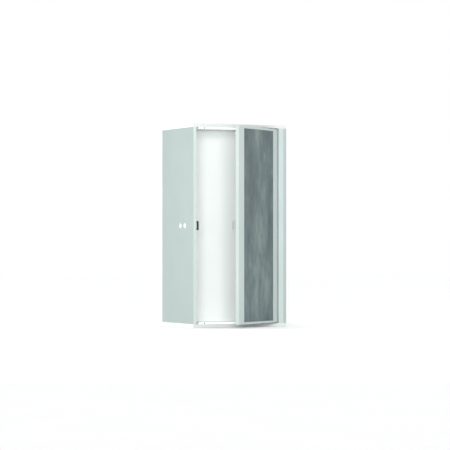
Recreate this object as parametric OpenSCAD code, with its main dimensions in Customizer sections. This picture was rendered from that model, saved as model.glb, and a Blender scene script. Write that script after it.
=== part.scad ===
/* [Carcass] */
// Overall width of the cabinet
cabinet_w = 500; // [400:10:800]
// Overall depth of the cabinet
cabinet_d = 420; // [320:10:600]
// Overall height of the cabinet
cabinet_h = 1000; // [700:10:1900]
// Thickness of the side, top and bottom boards
board_t = 16; // [14:1:25]
// Thickness of the back board
back_t = 8; // [5:1:14]
// Width of the fixed stile beside the hinges
stile_w = 42; // [30:1:70]
// How far the stop rails reach past the top and bottom boards
stop_h = 9; // [6:1:20]
// Depth of the stop rails
stop_d = 16; // [12:1:30]

/* [Door] */
// Thickness of the door leaf
door_t = 18; // [16:1:22]
// Gap down each upright edge of the door
side_gap = 2; // [2:0.5:4]
// Gap above and below the door, where the pivot straps lie
end_gap = 4; // [3.5:0.5:8]
// Gap between the closed door and the stop rails
stop_gap = 3; // [2:0.5:5]
// Opening angle at which the door stands
door_open = 40; // [0:1:90]
// Width of the plain border at each side of the slate panel
border_side = 57; // [45:1:90]
// Height of the plain border above and below the slate panel
border_end = 10; // [8:1:60]
// Thickness of the slate panel
slate_t = 3; // [2:0.5:4]
// Shadow gap round the slate panel
slate_gap = 1.5; // [0.5:0.5:3]

/* [Pivots] */
// Diameter of the pivot pins
pin_d = 8; // [6:0.5:10]
// Radial clearance of the pins in their bushes
pin_clearance = 0.05; // [0.02:0.01:0.1]
// Wall of the pivot bushes
bush_wall = 3; // [2:0.5:4]
// How deep the bushes are let into the boards
bush_depth = 11; // [8:1:12]
// Thickness of the steel straps
strap_t = 2; // [1.5:0.25:2.5]
// Length of the steel straps
strap_l = 150; // [80:5:200]
// Width of the steel straps
strap_w = 14; // [12:1:15]

/* [Latch] */
// How far the latch housing stands out from the side
latch_w = 21; // [19:1:28]
// Height of the latch housing
latch_h = 44; // [36:1:60]
// Length of the latch housing, front to back
latch_l = 166; // [160:1:200]
// Diameter of the locking bolt
bolt_d = 11; // [8:0.5:14]
// Length of the locking bolt
bolt_l = 17; // [16:0.5:17.5]
// Travel of the locking bolt
bolt_travel = 11; // [8:0.5:12]
// Radial clearance of the locking bolt in its bore
bolt_clearance = 0.1; // [0.05:0.05:0.3]
// Diameter of the caps on the through bolts
cap_d = 24; // [16:1:30]
// Height of the caps on the through bolts
cap_h = 4; // [2:0.5:6]
// Distance from the cabinet front to the first through bolt
cap_first = 114; // [100:1:120]
// Spacing of the two through bolts
cap_pitch = 55; // [40:1:60]

/* [Hidden] */
$fn = 48;
eps = 1;

left = -cabinet_w / 2;
right = cabinet_w / 2;
front = -cabinet_d / 2;
back = cabinet_d / 2;
mid_h = cabinet_h / 2;
inner_left = left + board_t;
inner_right = right - board_t;
clear_h = cabinet_h - 2 * board_t;

door_right = right - stile_w - side_gap;
door_left = inner_left + side_gap;
door_bottom = board_t + end_gap;
door_h = clear_h - 2 * end_gap;
door_top = door_bottom + door_h;
door_inner = front + door_t;
pivot_x = door_right - door_t / 2;
pivot_y = front + door_t / 2;
pin_reach = end_gap - strap_t + bush_depth - 1;
bush_r = pin_d / 2 + pin_clearance + bush_wall;

slate_w = door_right - door_left - 2 * border_side;
slate_h = door_h - 2 * border_end;

stop_front = door_inner + stop_gap;
screw_r = 2;
screw_head_r = 4;
screw_head_h = 2;
screw_l = 40;
screw_inset = 60;
back_screw_l = 25;
strap_screw_l = 20;
strap_screw_head_r = 3.5;
strap_screw_head_h = 1;
strap_screw_r = 1.5;
strap_screw_at = [40, strap_l - 20];
bumper_r = 5;
bumper_h = stop_gap - 0.5;

latch_front = door_inner + 4;
latch_right = inner_left + latch_w;
bolt_y = latch_front + 15;
bolt_tip = latch_right - 1;
through_r = 3;
through_l = board_t + 14;
strike_t = 3;
strike_x = latch_right + 3;
strike_foot = 26;
strike_h = 40;
strike_reach = bolt_y - door_inner + 10;
strike_hole_r = bolt_d / 2 + 1;
strike_screw_z = 12;
strike_screw_l = 12;
faceplate_w = 11;
faceplate_h = 28;
faceplate_t = 2;

// A box given by its low and high corners
module block(low, high) {
    translate(low) cube(high - low);
}

// A countersunk screw along -Z, with its head's top at the origin
module screw(shank_r, head_r, head_h, length) {
    translate([0, 0, -length]) cylinder(r = shank_r, h = length);
    translate([0, 0, -head_h]) cylinder(r = head_r, h = head_h);
}

// Places its children at the four screws in the top board, then the four in the bottom board
module at_carcass_screws() {
    for (x = [left + board_t / 2, right - board_t / 2], y = [front + screw_inset, back - screw_inset]) {
        translate([x, y, cabinet_h]) children();
        translate([x, y, 0]) mirror([0, 0, 1]) children();
    }
}

// Places its children at the screws of the back board, heads outwards
module at_back_screws() {
    for (x = [left + board_t / 2, right - board_t / 2], z = [0.12, 0.5, 0.88] * cabinet_h)
        translate([x, back, z]) rotate([-90, 0, 0]) children();
}

// Turns the door from its closed place to where it stands
module door_place() {
    translate([pivot_x, pivot_y, 0]) rotate([0, 0, door_open]) translate([-pivot_x, -pivot_y, 0]) children();
}

module carcass_screw() {
    screw(screw_r, screw_head_r, screw_head_h, screw_l);
}

module back_screw() {
    screw(screw_r, screw_head_r, screw_head_h, back_screw_l);
}

// Side boards run between the top and bottom boards, in front of the back board
module side(low_x) {
    difference() {
        block([low_x, front, board_t], [low_x + board_t, back - back_t, cabinet_h - board_t]);
        at_carcass_screws() carcass_screw();
        at_back_screws() back_screw();
        through_bolt_shape();
    }
}

module left_side() {
    color("gainsboro") side(left);
}

module right_side() {
    color("gainsboro") side(right - board_t);
}

// The top or bottom board before the bush is let in
module end_board(low_z) {
    difference() {
        block([left, front, low_z], [right, back - back_t, low_z + board_t]);
        at_carcass_screws() carcass_screw();
    }
}

module top_panel() {
    color("whitesmoke") difference() {
        end_board(cabinet_h - board_t);
        translate([pivot_x, pivot_y, cabinet_h - board_t - eps]) cylinder(r = bush_r, h = bush_depth + eps);
    }
}

module bottom_panel() {
    color("whitesmoke") difference() {
        end_board(0);
        translate([pivot_x, pivot_y, board_t - bush_depth]) cylinder(r = bush_r, h = bush_depth + eps);
    }
}

module back_panel() {
    color("white") difference() {
        block([left, back - back_t, 0], [right, back, cabinet_h]);
        at_back_screws() back_screw();
    }
}

module right_stile() {
    color("gainsboro") block(
        [right - stile_w, front, board_t],
        [inner_right, front + door_t, cabinet_h - board_t]
    );
}

module top_stop_rail() {
    color("white") block(
        [latch_right, stop_front, cabinet_h - board_t - stop_h],
        [inner_right, stop_front + stop_d, cabinet_h - board_t]
    );
}

module bottom_stop_rail() {
    color("white") block(
        [latch_right, stop_front, board_t],
        [inner_right, stop_front + stop_d, board_t + stop_h]
    );
}

module bush() {
    difference() {
        cylinder(r = bush_r, h = bush_depth);
        translate([0, 0, -eps]) cylinder(r = pin_d / 2 + pin_clearance, h = bush_depth + eps - 0.5);
    }
}

module top_bush() {
    color("dimgray") translate([pivot_x, pivot_y, cabinet_h - board_t]) bush();
}

module bottom_bush() {
    color("dimgray") translate([pivot_x, pivot_y, board_t]) mirror([0, 0, 1]) bush();
}

module carcass_screws() {
    color("silver") at_carcass_screws() carcass_screw();
}

module back_screws() {
    color("silver") at_back_screws() back_screw();
}

// Rubber buffers on the front of the stop rails, at the door's free side
module door_bumpers() {
    color("darkgray")
        for (z = [board_t + stop_h / 2, cabinet_h - board_t - stop_h / 2])
            translate([latch_right + 30, stop_front, z])
                rotate([90, 0, 0]) cylinder(r = min(bumper_r, stop_h / 2 - 0.5), h = bumper_h);
}

module bolt_bore() {
    translate([inner_left + 1, bolt_y, mid_h]) rotate([0, 90, 0])
        cylinder(r = bolt_d / 2 + bolt_clearance, h = latch_w);
}

module latch_housing() {
    color([0.06, 0.06, 0.07]) difference() {
        block([inner_left, latch_front, mid_h - latch_h / 2], [latch_right, latch_front + latch_l, mid_h + latch_h / 2]);
        bolt_bore();
        through_bolt_shape();
        faceplate_shape();
    }
}

module faceplate_shape() {
    block(
        [inner_left, latch_front, mid_h - faceplate_h / 2],
        [inner_left + faceplate_w, latch_front + faceplate_t, mid_h + faceplate_h / 2]
    );
}

module latch_faceplate() {
    color("silver") faceplate_shape();
}

// Two bolts through the left side into the housing, each with a domed cap outside
module through_bolt_shape() {
    dome_r = (cap_d * cap_d / 4 + cap_h * cap_h) / (2 * cap_h);
    for (i = [0, 1])
        translate([left, front + cap_first + i * cap_pitch, mid_h]) rotate([0, 90, 0]) {
            cylinder(r = through_r, h = through_l);
            intersection() {
                translate([0, 0, dome_r - cap_h]) sphere(r = dome_r, $fn = 96);
                translate([0, 0, -cap_h - eps]) cylinder(r = cap_d, h = cap_h + eps);
            }
        }
}

module through_bolts() {
    color("white") through_bolt_shape();
}

// The leaf's hinge edge is a half round about the pins, so it turns past the stile
module leaf_outline() {
    translate([pivot_x, pivot_y]) circle(d = door_t);
    translate([door_left, front]) square([pivot_x - door_left, door_t]);
}

module strike_screw_places() {
    for (side = [-1, 1])
        translate([strike_x + strike_foot - 8, door_inner + strike_t, mid_h + side * strike_screw_z])
            rotate([-90, 0, 0]) children();
}

module strike_screw() {
    screw(strap_screw_r, strap_screw_head_r, strap_screw_head_h, strike_screw_l);
}

module pivot_screw_places() {
    for (s = strap_screw_at) {
        translate([pivot_x - s, pivot_y, door_top + strap_t]) children();
        translate([pivot_x - s, pivot_y, door_bottom - strap_t]) mirror([0, 0, 1]) children();
    }
}

module strap_screw() {
    screw(strap_screw_r, strap_screw_head_r, strap_screw_head_h, strap_screw_l);
}

module door_leaf() {
    color("gainsboro") door_place() difference() {
        translate([0, 0, door_bottom]) linear_extrude(door_h) leaf_outline();
        block(
            [door_left + border_side, front - eps, door_bottom + border_end],
            [door_right - border_side, front + slate_t, door_top - border_end]
        );
        pivot_screw_places() strap_screw();
        strike_screw_places() strike_screw();
    }
}

module slate_panel() {
    color("slategray") door_place() block(
        [door_left + border_side + slate_gap, front, door_bottom + border_end + slate_gap],
        [door_right - border_side - slate_gap, front + slate_t, door_top - border_end - slate_gap]
    );
}

// A steel strap on the end of the leaf, with the pin that turns in the bush
module pivot() {
    cylinder(d = pin_d, h = strap_t + pin_reach);
    cylinder(d = strap_w, h = strap_t);
    translate([-strap_l, -strap_w / 2, 0]) cube([strap_l, strap_w, strap_t]);
}

module top_pivot() {
    color("dimgray") door_place() difference() {
        translate([pivot_x, pivot_y, door_top]) pivot();
        pivot_screw_places() strap_screw();
    }
}

module bottom_pivot() {
    color("dimgray") door_place() difference() {
        translate([pivot_x, pivot_y, door_bottom]) mirror([0, 0, 1]) pivot();
        pivot_screw_places() strap_screw();
    }
}

module pivot_screws() {
    color("silver") door_place() pivot_screw_places() strap_screw();
}

// An angle on the inside of the leaf; the locking bolt passes through its tongue
module door_strike() {
    color("silver") door_place() difference() {
        union() {
            block([strike_x, door_inner, mid_h - strike_h / 2], [strike_x + strike_foot, door_inner + strike_t, mid_h + strike_h / 2]);
            block([strike_x, door_inner, mid_h - strike_h / 2], [strike_x + strike_t, door_inner + strike_reach, mid_h + strike_h / 2]);
        }
        translate([strike_x - eps, bolt_y, mid_h]) rotate([0, 90, 0]) cylinder(r = strike_hole_r, h = strike_t + 2 * eps);
        strike_screw_places() strike_screw();
    }
}

module strike_screws() {
    color("silver") door_place() strike_screw_places() strike_screw();
}

module latch_bolt() {
    color("silver") translate([bolt_tip - bolt_l, bolt_y, mid_h]) rotate([0, 90, 0]) cylinder(d = bolt_d, h = bolt_l);
}

left_side();
right_side();
top_panel();
bottom_panel();
back_panel();
right_stile();
top_stop_rail();
bottom_stop_rail();
top_bush();
bottom_bush();
carcass_screws();
back_screws();
door_bumpers();
latch_housing();
latch_faceplate();
through_bolts();
door_leaf();
slate_panel();
top_pivot();
bottom_pivot();
pivot_screws();
door_strike();
strike_screws();
latch_bolt();
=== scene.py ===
import math

import bpy
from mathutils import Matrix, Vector


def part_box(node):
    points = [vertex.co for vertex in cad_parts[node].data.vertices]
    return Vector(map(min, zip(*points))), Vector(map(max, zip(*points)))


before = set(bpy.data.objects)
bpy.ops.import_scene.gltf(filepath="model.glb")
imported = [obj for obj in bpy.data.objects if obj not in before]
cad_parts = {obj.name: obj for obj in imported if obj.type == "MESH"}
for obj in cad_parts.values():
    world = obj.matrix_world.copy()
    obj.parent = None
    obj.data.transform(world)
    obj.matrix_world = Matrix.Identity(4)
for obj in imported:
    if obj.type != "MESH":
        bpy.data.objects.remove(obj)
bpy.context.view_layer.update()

# Camera: a long lens from the front left, a little under mid-height.
# The upright edges stay upright because the lens is shifted, not tilted.
YAW = math.radians(23.2)
DISTANCE = 12.012
SIDE_STEP = 0.1547
EYE_HEIGHT = 0.39
LENS_MM = 196.2
SENSOR_MM = 36
SHIFT_UP = 0.051
FARTHEST = 100

ahead = Vector((math.sin(YAW), math.cos(YAW), 0))
across = Vector((math.cos(YAW), -math.sin(YAW), 0))
side_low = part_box("left_side")[0]
near_edge = Vector((side_low.x, side_low.y, EYE_HEIGHT))
lens = bpy.data.cameras.new("view")
lens.lens = LENS_MM
lens.sensor_width = SENSOR_MM
lens.shift_y = SHIFT_UP
lens.clip_end = FARTHEST
camera = bpy.data.objects.new("view", lens)
camera.location = near_edge - DISTANCE * ahead + SIDE_STEP * across
camera.rotation_euler = (math.pi / 2, 0, -YAW)
bpy.context.scene.collection.objects.link(camera)
bpy.context.scene.camera = camera

# Lights: a white studio with one broad soft light in front, on the camera's side.
# It reaches the back of the cabinet, and the rest is the even light of the room.
LIGHT_PLACE = Vector((-2.0, -4.7, 0.9))
LIGHT_AIM = Vector((0, 0, 0.5))
LIGHT_SIZE = 1.2
LIGHT_WATTS = 215
WHITE = (1, 1, 1, 1)

softbox = bpy.data.lights.new("front_light", "AREA")
softbox.size = LIGHT_SIZE
softbox.energy = LIGHT_WATTS
front_light = bpy.data.objects.new("front_light", softbox)
front_light.location = LIGHT_PLACE
front_light.rotation_euler = (LIGHT_AIM - LIGHT_PLACE).to_track_quat("-Z", "Y").to_euler()
bpy.context.scene.collection.objects.link(front_light)
world = bpy.data.worlds.new("studio")
bpy.context.scene.world = world
world.use_nodes = True
room = world.node_tree.nodes["Background"]
room.inputs["Color"].default_value = WHITE
room.inputs["Strength"].default_value = 1.0
bpy.context.scene.view_settings.view_transform = "Standard"

# Inner boards: top, bottom, back and stop rails in chipboard faced with white melamine.
# The film is satin, with a very fine pearl embossing. Front edges carry a glued edging.
DRIFT_PER_METRE = 5.0
DRIFT_DETAIL = 4.0
DRIFT_ROUGHNESS = 0.6
GRAIN_DETAIL = 3.0
DARK_AT = 0.3
LIGHT_AT = 0.7
GLOSS_SPREAD = 0.06
RELIEF_DEPTH = 0.0003
EDGING_T = 0.0008
# The colour sockets of a Mix node set to RGBA
MIX_A = 6
MIX_B = 7
MIX_RESULT = 2


def linear(hex_colour):
    """An sRGB hex colour as linear RGBA."""
    parts = [int(hex_colour[i : i + 2], 16) / 255 for i in (0, 2, 4)]
    return [c / 12.92 if c <= 0.04045 else ((c + 0.055) / 1.055) ** 2.4 for c in parts] + [1.0]


def add(tree, kind, settings=None, links=None):
    """Adds a node; settings go to sockets or attributes, and links join other sockets to its inputs."""
    node = tree.nodes.new(kind)
    for name, value in (settings or {}).items():
        if name in node.inputs:
            node.inputs[name].default_value = value
        else:
            setattr(node, name, value)
    for name, socket in (links or {}).items():
        tree.links.new(socket, node.inputs[name])
    return node


def with_edging(tree, place, colour, band):
    """The colour, changed to that of the glued edging on a board's front edge."""
    parts = add(tree, "ShaderNodeSeparateXYZ", None, {"Vector": place.outputs["Object"]})
    at_front = add(tree, "ShaderNodeMath", {"operation": "LESS_THAN"}, {0: parts.outputs["Y"]})
    at_front.inputs[1].default_value = side_low.y + EDGING_T
    edging = add(tree, "ShaderNodeMix", {"data_type": "RGBA"}, {"Factor": at_front.outputs["Value"]})
    tree.links.new(colour, edging.inputs[MIX_A])
    edging.inputs[MIX_B].default_value = linear(band)
    return edging.outputs[MIX_RESULT]


def finish_of(
    name,
    light,
    dark,
    roughness,
    grain_mm,
    bump,
    metallic=0.0,
    stretch=(1, 1, 1),
    coat=0.0,
    band=None,
):
    """A surface whose colour drifts between two hex values, with a fine bump grain of a real size.
    A board's band is the colour of the edging glued along its front edge."""
    material = bpy.data.materials.new(name)
    material.use_nodes = True
    tree = material.node_tree
    shader = tree.nodes["Principled BSDF"]
    shader.inputs["Metallic"].default_value = metallic
    shader.inputs["Coat Weight"].default_value = coat
    place = add(tree, "ShaderNodeTexCoord")
    spread = add(tree, "ShaderNodeMapping", {"Scale": stretch}, {"Vector": place.outputs["Object"]})
    grain = add(
        tree,
        "ShaderNodeTexNoise",
        {"Scale": 1000 / grain_mm, "Detail": GRAIN_DETAIL},
        {"Vector": spread.outputs["Vector"]},
    )
    drift = add(
        tree,
        "ShaderNodeTexNoise",
        {"Scale": DRIFT_PER_METRE, "Detail": DRIFT_DETAIL, "Roughness": DRIFT_ROUGHNESS},
        {"Vector": spread.outputs["Vector"]},
    )
    tones = add(tree, "ShaderNodeValToRGB", None, {"Fac": drift.outputs["Fac"]})
    low, high = tones.color_ramp.elements
    low.position, low.color = DARK_AT, linear(dark)
    high.position, high.color = LIGHT_AT, linear(light)
    colour = tones.outputs["Color"]
    if band:
        colour = with_edging(tree, place, colour, band)
    tree.links.new(colour, shader.inputs["Base Color"])
    gloss = add(
        tree,
        "ShaderNodeMapRange",
        {"To Min": roughness - GLOSS_SPREAD, "To Max": roughness + GLOSS_SPREAD},
        {"Value": grain.outputs["Fac"]},
    )
    tree.links.new(gloss.outputs["Result"], shader.inputs["Roughness"])
    relief = add(
        tree,
        "ShaderNodeBump",
        {"Strength": bump, "Distance": RELIEF_DEPTH},
        {"Height": grain.outputs["Fac"]},
    )
    tree.links.new(relief.outputs["Normal"], shader.inputs["Normal"])
    return material


def dress(material, slot, *names):
    """Gives CAD nodes their finish."""
    for name in names:
        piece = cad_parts[name]
        piece.data.materials.clear()
        piece.data.materials.append(material)


white_melamine = finish_of(
    "white_melamine",
    light="F4F7F6",
    dark="F1F5F3",
    roughness=0.45,
    grain_mm=1.5,
    bump=0.08,
    band="B6BAB9",
)
dress(
    white_melamine,
    "inner_board",
    "top_panel",
    "bottom_panel",
    "back_panel",
    "top_stop_rail",
    "bottom_stop_rail",
)


# Side boards: the same chipboard and white melamine as the inner boards, screwed between top and bottom,
# coloured a darker grey-green as painted shade for the sides.
# The right board's front edging is painted darker than the left's, as painted shade.
def shaded_melamine(name, band):
    return finish_of(
        name,
        light="A9B7B4",
        dark="A5B3B0",
        roughness=0.5,
        grain_mm=1.5,
        bump=0.08,
        band=band,
    )


# Both boards' grey-green face colour is painted shade; the right edging's darker colour is more painted
# shade.
dress(shaded_melamine("shaded_melamine_left", "A9B3B0"), "outer_board", "left_side")
dress(shaded_melamine("shaded_melamine_right", "8F9A99"), "outer_board", "right_side")

# Door leaf and fixed stile: board sprayed with pale grey lacquer, which dries to a satin face
# with a fine orange-peel surface.
lacquer = finish_of("pale_lacquer", light="A4AEAC", dark="9FAAA7", roughness=0.4, grain_mm=3.0, bump=0.12)
dress(lacquer, "door_board", "door_leaf", "right_stile")

# Slate panel: a laminate let into the leaf, printed as honed slate.
# It is cloudy blue-grey with faint upright streaks and a satin face.
CLOUDS_PER_METRE = 7.0
STREAKS_PER_METRE = 26.0
UPRIGHT_STRETCH = (1, 1, 0.45)
STREAK_SHARE = 0.35
SLATE_TONES = ((0.36, "38464A"), (0.5, "4C5B5D"), (0.66, "6C7A77"))
SLATE_ROUGHNESS = 0.5
SLATE_RELIEF = 0.0005
SLATE_BUMP = 0.15


def slate_laminate():
    material = bpy.data.materials.new("slate_laminate")
    material.use_nodes = True
    tree = material.node_tree
    shader = tree.nodes["Principled BSDF"]
    place = add(tree, "ShaderNodeTexCoord")
    tall = add(tree, "ShaderNodeMapping", {"Scale": UPRIGHT_STRETCH}, {"Vector": place.outputs["Object"]})
    clouds = add(
        tree,
        "ShaderNodeTexNoise",
        {"Scale": CLOUDS_PER_METRE, "Detail": 6.0, "Roughness": 0.55, "Distortion": 0.4},
        {"Vector": tall.outputs["Vector"]},
    )
    streaks = add(
        tree,
        "ShaderNodeTexNoise",
        {"Scale": STREAKS_PER_METRE, "Detail": 8.0, "Roughness": 0.65},
        {"Vector": tall.outputs["Vector"]},
    )
    both = add(
        tree,
        "ShaderNodeMix",
        {"data_type": "FLOAT", "Factor": STREAK_SHARE},
        {"A": clouds.outputs["Fac"], "B": streaks.outputs["Fac"]},
    )
    tones = add(tree, "ShaderNodeValToRGB", None, {"Fac": both.outputs["Result"]})
    ramp = tones.color_ramp
    (dark_at, dark), (middle_at, middle), (light_at, light) = SLATE_TONES
    ramp.elements[0].position, ramp.elements[0].color = dark_at, linear(dark)
    ramp.elements[1].position, ramp.elements[1].color = light_at, linear(light)
    ramp.elements.new(middle_at).color = linear(middle)
    tree.links.new(tones.outputs["Color"], shader.inputs["Base Color"])
    shader.inputs["Roughness"].default_value = SLATE_ROUGHNESS
    relief = add(
        tree,
        "ShaderNodeBump",
        {"Strength": SLATE_BUMP, "Distance": SLATE_RELIEF},
        {"Height": streaks.outputs["Fac"]},
    )
    tree.links.new(relief.outputs["Normal"], shader.inputs["Normal"])
    return material


dress(slate_laminate(), "slate_laminate", "slate_panel")

# Pivots: steel straps with a pin, powder coated nearly black, screwed to the ends of the leaf. Their
# near-black colour also paints the shadow in the gap above and below the leaf by the hinge.
pivot_coat_and_gap_shade = finish_of(
    "dark_coat_and_gap_shade", light="2E3434", dark="262B2B", roughness=0.55, grain_mm=0.8, bump=0.3
)
dress(pivot_coat_and_gap_shade, "dark_steel", "top_pivot", "bottom_pivot")

# Bushes: moulded nylon cups let into the top and bottom boards, where the pins turn.
nylon = finish_of("moulded_nylon", light="4A4D4D", dark="434646", roughness=0.5, grain_mm=1.2, bump=0.1)
dress(nylon, "bush_nylon", "top_bush", "bottom_bush")

# Latch housing: a black ABS moulding with a fine spark-eroded grain, bolted to the left side.
black_abs = finish_of("black_abs", light="16191A", dark="0F1112", roughness=0.45, grain_mm=0.6, bump=0.25)
dress(black_abs, "latch_plastic", "latch_housing")

# Zinc-plated steel: the latch's faceplate and bolt, the strike angle and all the screws.
# The plating is a satin metal, its grain drawn out along the height.
zinc = finish_of(
    "zinc_plate",
    light="C4C8C8",
    dark="AEB3B3",
    roughness=0.35,
    grain_mm=0.5,
    bump=0.1,
    metallic=1.0,
    stretch=(1, 1, 0.1),
)
dress(
    zinc,
    "zinc_steel",
    "latch_faceplate",
    "latch_bolt",
    "door_strike",
    "strike_screws",
    "pivot_screws",
    "carcass_screws",
    "back_screws",
)

# Through bolts: steel bolts through the left side, their domed caps in white gloss enamel.
enamel = finish_of(
    "white_enamel", light="FAFCFB", dark="F6F9F8", roughness=0.2, grain_mm=4.0, bump=0.05, coat=0.5
)
dress(enamel, "white_cap", "through_bolts")

# Door buffers: matt grey rubber discs glued to the stop rails.
rubber = finish_of("grey_rubber", light="9A9E9E", dark="8D9191", roughness=0.8, grain_mm=0.7, bump=0.3)
dress(rubber, "buffer_rubber", "door_bumpers")

# Floor: a plain pale studio floor just under the base.
FLOOR_SIZE = 40
FLOOR_GAP = 0.0005
floor_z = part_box("bottom_panel")[0].z - FLOOR_GAP
bpy.ops.mesh.primitive_plane_add(size=FLOOR_SIZE, location=(0, 0, floor_z))
floor = bpy.context.object
floor.name = "floor"
floor.data.materials.append(
    finish_of("studio_floor", light="FFFFFF", dark="FDFEFE", roughness=0.9, grain_mm=50.0, bump=0.0)
)
